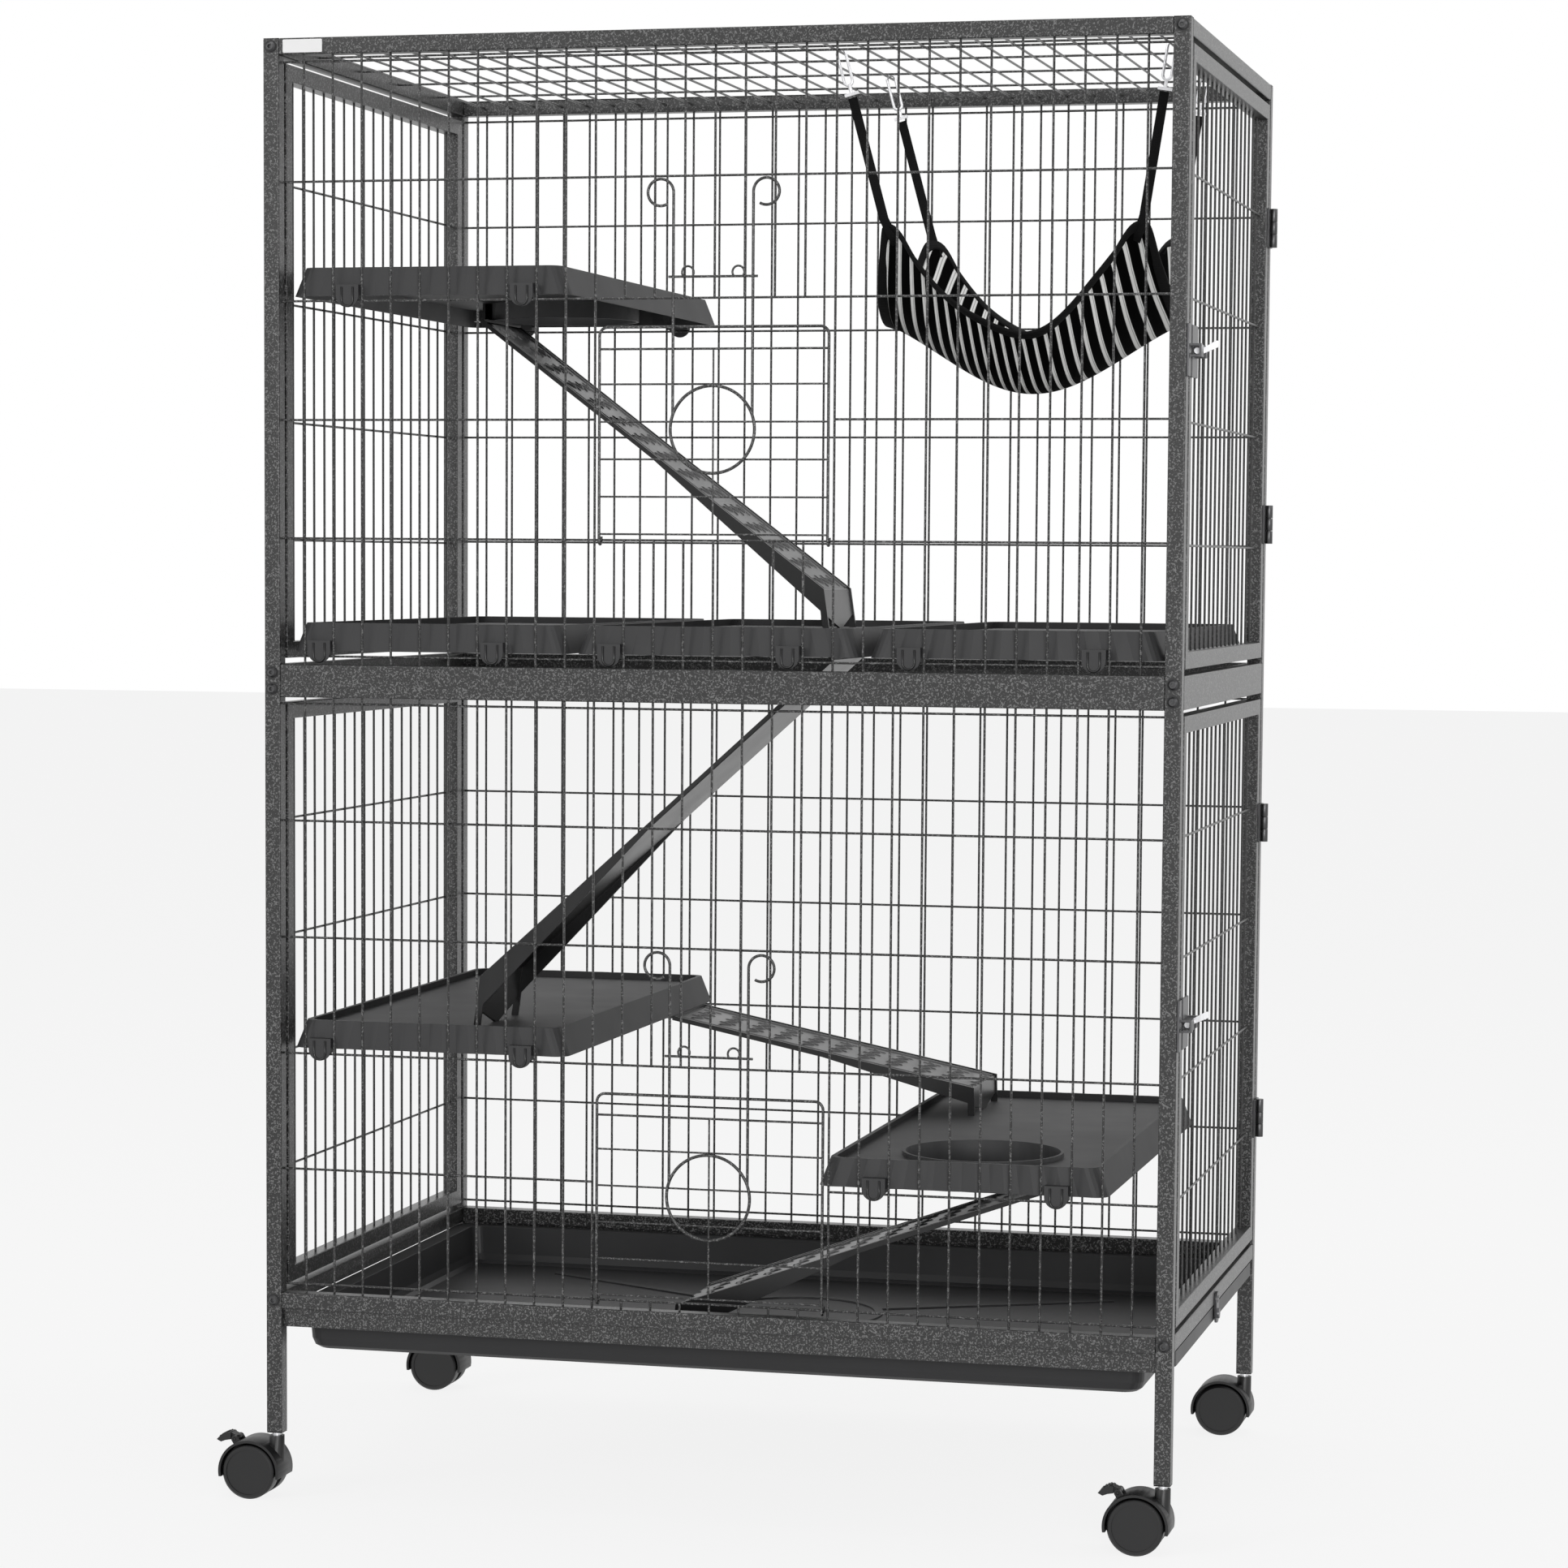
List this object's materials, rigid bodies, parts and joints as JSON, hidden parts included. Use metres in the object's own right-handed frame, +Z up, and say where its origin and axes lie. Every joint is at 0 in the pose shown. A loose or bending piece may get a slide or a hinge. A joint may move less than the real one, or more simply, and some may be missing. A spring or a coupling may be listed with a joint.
{
  "type": "ferret cage",
  "caption": "Tall two-storey wire cage on casters with barred side doors, small front feeder doors, half shelves, ramps, a hammock and a slide-out bin.",
  "frame": {"origin": "middle of the bounding box on the floor under the casters", "axes": "+X to the right along the width (the side doors and the bin open that way), +Y to the back, +Z up"},
  "size_m": [0.853, 0.532, 1.247],
  "materials": {
    "hammertone": "dark grey hammertone powder coat with pale speckles",
    "bright_steel": "bright zinc plated steel",
    "latch_steel": "pale satin steel",
    "shelf_plastic": "moulded dark grey plastic, fine satin grain",
    "ramp_plastic": "moulded dark grey plastic with a slightly glossy tread",
    "bin_plastic": "vacuum formed dark grey plastic",
    "caster_plastic": "near black nylon",
    "plug_plastic": "black plastic",
    "cloth": "woven black cloth with narrow white stripes",
    "webbing": "black nylon webbing",
    "dark_steel": "steel with a dark oxide finish",
    "label_white": "blank white plate"
  },
  "bodies": {
    "cage": {"corner_posts": "hammertone", "top_rails": "hammertone", "middle_rails": "hammertone", "base_rails": "hammertone", "tray_guides": "hammertone", "frame_bolts": "dark_steel", "label_plate": "label_white", "post_plugs": "plug_plastic", "caster_stems": "bright_steel", "roof_mesh": "hammertone", "front_upper_mesh": "hammertone", "front_lower_mesh": "hammertone", "back_upper_mesh": "hammertone", "back_lower_mesh": "hammertone", "left_panel_frames": "hammertone", "left_panel_bars": "hammertone", "left_panel_spacers": "bright_steel", "hinge_post_leaves": "dark_steel", "latch_keepers": "latch_steel", "shelf_upper_left": "shelf_plastic", "shelf_middle_left": "shelf_plastic", "shelf_middle": "shelf_plastic", "shelf_middle_right": "shelf_plastic", "shelf_lower_left": "shelf_plastic", "shelf_lower_right": "shelf_plastic", "ramp_upper": "ramp_plastic", "ramp_middle": "ramp_plastic", "ramp_lower": "ramp_plastic", "ramp_bottom": "ramp_plastic", "hammock_cloth": "cloth", "hammock_straps": "webbing", "hammock_hooks": "bright_steel"},
    "upper_door": {"upper_door_frame": "hammertone", "upper_door_bars": "hammertone", "upper_door_hinge_leaves": "dark_steel", "upper_latch_plate": "latch_steel"},
    "lower_door": {"lower_door_frame": "hammertone", "lower_door_bars": "hammertone", "lower_door_hinge_leaves": "dark_steel", "lower_latch_plate": "latch_steel"},
    "upper_bolt": {"upper_latch_bolt": "bright_steel"},
    "lower_bolt": {"lower_latch_bolt": "bright_steel"},
    "upper_feeder": {"upper_feeder_door": "hammertone"},
    "lower_feeder": {"lower_feeder_door": "hammertone"},
    "upper_feeder_catch": {"upper_feeder_latch": "hammertone"},
    "lower_feeder_catch": {"lower_feeder_latch": "hammertone"},
    "bin_body": {"bin": "bin_plastic"},
    "lock_tab": {"bin_lock_tab": "bright_steel"},
    "swivel_fl": {"caster_hood_fl": "caster_plastic"},
    "wheels_fl": {"caster_wheels_fl": "caster_plastic"},
    "swivel_fr": {"caster_hood_fr": "caster_plastic"},
    "wheels_fr": {"caster_wheels_fr": "caster_plastic"},
    "swivel_bl": {"caster_hood_bl": "caster_plastic"},
    "wheels_bl": {"caster_wheels_bl": "caster_plastic"},
    "swivel_br": {"caster_hood_br": "caster_plastic"},
    "wheels_br": {"caster_wheels_br": "caster_plastic"},
    "brake_fl": {"brake_lever_fl": "caster_plastic"},
    "brake_fr": {"brake_lever_fr": "caster_plastic"}
  },
  "joints": [
    {"name": "upper_side_door", "type": "hinge", "parent": "cage", "child": "upper_door", "pos_m": [0.418, 0.2375, 0.97675], "axis": [0, 0, 1], "range_deg": [0, 170]},
    {"name": "upper_door_bolt", "type": "slide", "parent": "upper_door", "child": "upper_bolt", "axis": [0, -1, 0], "range_m": [0, 0.008]},
    {"name": "lower_side_door", "type": "hinge", "parent": "cage", "child": "lower_door", "pos_m": [0.418, 0.2375, 0.43625], "axis": [0, 0, 1], "range_deg": [0, 170]},
    {"name": "lower_door_bolt", "type": "slide", "parent": "lower_door", "child": "lower_bolt", "axis": [0, -1, 0], "range_m": [0, 0.008]},
    {"name": "upper_feeder_door", "type": "hinge", "parent": "cage", "child": "upper_feeder", "pos_m": [0.02, -0.2461, 0.8275], "axis": [1, 0, 0], "range_deg": [0, 85]},
    {"name": "upper_feeder_latch", "type": "slide", "parent": "upper_feeder", "child": "upper_feeder_catch", "axis": [0, 0, 1], "range_m": [0, 0.012]},
    {"name": "lower_feeder_door", "type": "hinge", "parent": "cage", "child": "lower_feeder", "pos_m": [0.02, -0.2461, 0.187], "axis": [1, 0, 0], "range_deg": [0, 85]},
    {"name": "lower_feeder_latch", "type": "slide", "parent": "lower_feeder", "child": "lower_feeder_catch", "axis": [0, 0, 1], "range_m": [0, 0.012]},
    {"name": "bin_slide", "type": "slide", "parent": "cage", "child": "bin_body", "axis": [1, 0, 0], "range_m": [0, 0.45]},
    {"name": "bin_lock", "type": "hinge", "parent": "bin_body", "child": "lock_tab", "pos_m": [0.413, -0.005, 0.1578], "axis": [1, 0, 0], "range_deg": [-180, 0]},
    {"name": "caster_swivel_fl", "type": "hinge", "parent": "cage", "child": "swivel_fl", "pos_m": [-0.3665, -0.247, 0.047], "axis": [0, 0, 1], "continuous": true},
    {"name": "wheel_turn_fl", "type": "hinge", "parent": "swivel_fl", "child": "wheels_fl", "pos_m": [-0.3865, -0.247, 0.0235], "axis": [0, 1, 0], "continuous": true},
    {"name": "brake_press_fl", "type": "hinge", "parent": "swivel_fl", "child": "brake_fl", "pos_m": [-0.40282, -0.247, 0.04962], "axis": [0, 1, 0], "range_deg": [-8, 5]},
    {"name": "caster_swivel_fr", "type": "hinge", "parent": "cage", "child": "swivel_fr", "pos_m": [0.4065, -0.247, 0.047], "axis": [0, 0, 1], "continuous": true},
    {"name": "wheel_turn_fr", "type": "hinge", "parent": "swivel_fr", "child": "wheels_fr", "pos_m": [0.3865, -0.247, 0.0235], "axis": [0, 1, 0], "continuous": true},
    {"name": "brake_press_fr", "type": "hinge", "parent": "swivel_fr", "child": "brake_fr", "pos_m": [0.37018, -0.247, 0.04962], "axis": [0, 1, 0], "range_deg": [-8, 5]},
    {"name": "caster_swivel_bl", "type": "hinge", "parent": "cage", "child": "swivel_bl", "pos_m": [-0.3665, 0.247, 0.047], "axis": [0, 0, 1], "continuous": true},
    {"name": "wheel_turn_bl", "type": "hinge", "parent": "swivel_bl", "child": "wheels_bl", "pos_m": [-0.3865, 0.247, 0.0235], "axis": [0, 1, 0], "continuous": true},
    {"name": "caster_swivel_br", "type": "hinge", "parent": "cage", "child": "swivel_br", "pos_m": [0.4065, 0.247, 0.047], "axis": [0, 0, 1], "continuous": true},
    {"name": "wheel_turn_br", "type": "hinge", "parent": "swivel_br", "child": "wheels_br", "pos_m": [0.3865, 0.247, 0.0235], "axis": [0, 1, 0], "continuous": true}
  ]
}
